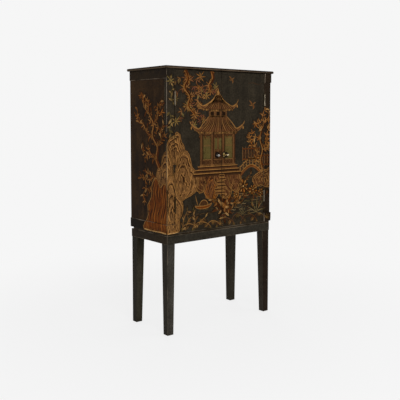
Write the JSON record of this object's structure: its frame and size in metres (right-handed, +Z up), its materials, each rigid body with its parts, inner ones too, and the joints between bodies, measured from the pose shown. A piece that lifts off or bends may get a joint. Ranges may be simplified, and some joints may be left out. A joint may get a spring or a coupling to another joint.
{
  "type": "tv cabinet",
  "caption": "Lacquered cabinet on a tapered-leg stand, with full-height hinged doors, a lock and key, slide bolts, and shelved space inside for a television.",
  "frame": {"origin": "on the floor at the middle of the stand's four feet", "axes": "+Z up, +X to the right of someone who faces the doors, +Y towards the back; the doors face -Y"},
  "size_m": [0.818, 0.4012, 1.5],
  "materials": {
    "black_lacquer": "worn satin lacquer over wood, brown-black",
    "stand_lacquer": "worn satin lacquer over wood, brown-black",
    "stained_interior": "stained and waxed boards",
    "brass": "aged polished brass",
    "steel": "plain bright steel"
  },
  "bodies": {
    "case": {"leg_front_left": "stand_lacquer", "leg_front_right": "stand_lacquer", "leg_back_left": "stand_lacquer", "leg_back_right": "stand_lacquer", "rail_front": "stand_lacquer", "rail_back": "stand_lacquer", "rail_left": "stand_lacquer", "rail_right": "stand_lacquer", "stand_deck": "stand_lacquer", "side_left": "black_lacquer", "side_right": "black_lacquer", "stile_left": "black_lacquer", "stile_right": "black_lacquer", "top_board": "black_lacquer", "frieze_side_left": "black_lacquer", "frieze_side_right": "black_lacquer", "frieze_return_left": "black_lacquer", "frieze_return_right": "black_lacquer", "plinth_side_left": "black_lacquer", "plinth_side_right": "black_lacquer", "plinth_return_left": "black_lacquer", "plinth_return_right": "black_lacquer", "case_bottom": "stained_interior", "tv_shelf": "stained_interior", "inner_top": "stained_interior", "back_lower": "stained_interior", "back_upper": "stained_interior", "hinge_lower_left_case_leaf": "brass", "hinge_lower_left_pin": "brass", "hinge_upper_left_case_leaf": "brass", "hinge_upper_left_pin": "brass", "hinge_lower_right_case_leaf": "brass", "hinge_lower_right_pin": "brass", "hinge_upper_right_case_leaf": "brass", "hinge_upper_right_pin": "brass"},
    "left_door": {"door_left": "black_lacquer", "hinge_lower_left_door_leaf": "brass", "hinge_upper_left_door_leaf": "brass", "knob_left": "brass", "knob_rose_left": "brass", "knob_screw_left": "steel", "lock_strike": "brass", "bolt_plate_upper": "brass", "bolt_plate_lower": "brass"},
    "right_door": {"door_right": "black_lacquer", "hinge_lower_right_door_leaf": "brass", "hinge_upper_right_door_leaf": "brass", "knob_right": "brass", "knob_rose_right": "brass", "knob_screw_right": "steel", "escutcheon": "brass", "lock_case": "steel"},
    "key": {"key": "brass"},
    "lock_bolt": {"lock_bolt": "steel"},
    "upper_bolt": {"bolt_rod_upper": "brass"},
    "lower_bolt": {"bolt_rod_lower": "brass"}
  },
  "joints": [
    {"name": "left_door_swing", "type": "hinge", "parent": "case", "child": "left_door", "pos_m": [-0.341, -0.1863, 0.5766], "axis": [0, 0, -1], "range_deg": [0, 170]},
    {"name": "right_door_swing", "type": "hinge", "parent": "case", "child": "right_door", "pos_m": [0.341, -0.1863, 0.5766], "axis": [0, 0, 1], "range_deg": [0, 170]},
    {"name": "key_turn", "type": "hinge", "parent": "right_door", "child": "key", "pos_m": [0.017, -0.182, 1.0006], "axis": [0, -1, 0], "range_deg": [0, 90]},
    {"name": "lock_bolt_throw", "type": "slide", "parent": "right_door", "child": "lock_bolt", "axis": [-1, 0, 0], "range_m": [0, 0.00813]},
    {"name": "upper_bolt_slide", "type": "slide", "parent": "left_door", "child": "upper_bolt", "axis": [0, 0, 1], "range_m": [0, 0.01]},
    {"name": "lower_bolt_slide", "type": "slide", "parent": "left_door", "child": "lower_bolt", "axis": [0, 0, -1], "range_m": [0, 0.01]}
  ],
  "couplings": [
    {"joint": "key_turn", "follows": "lock_bolt_throw", "rad_per_m": 193.17}
  ]
}
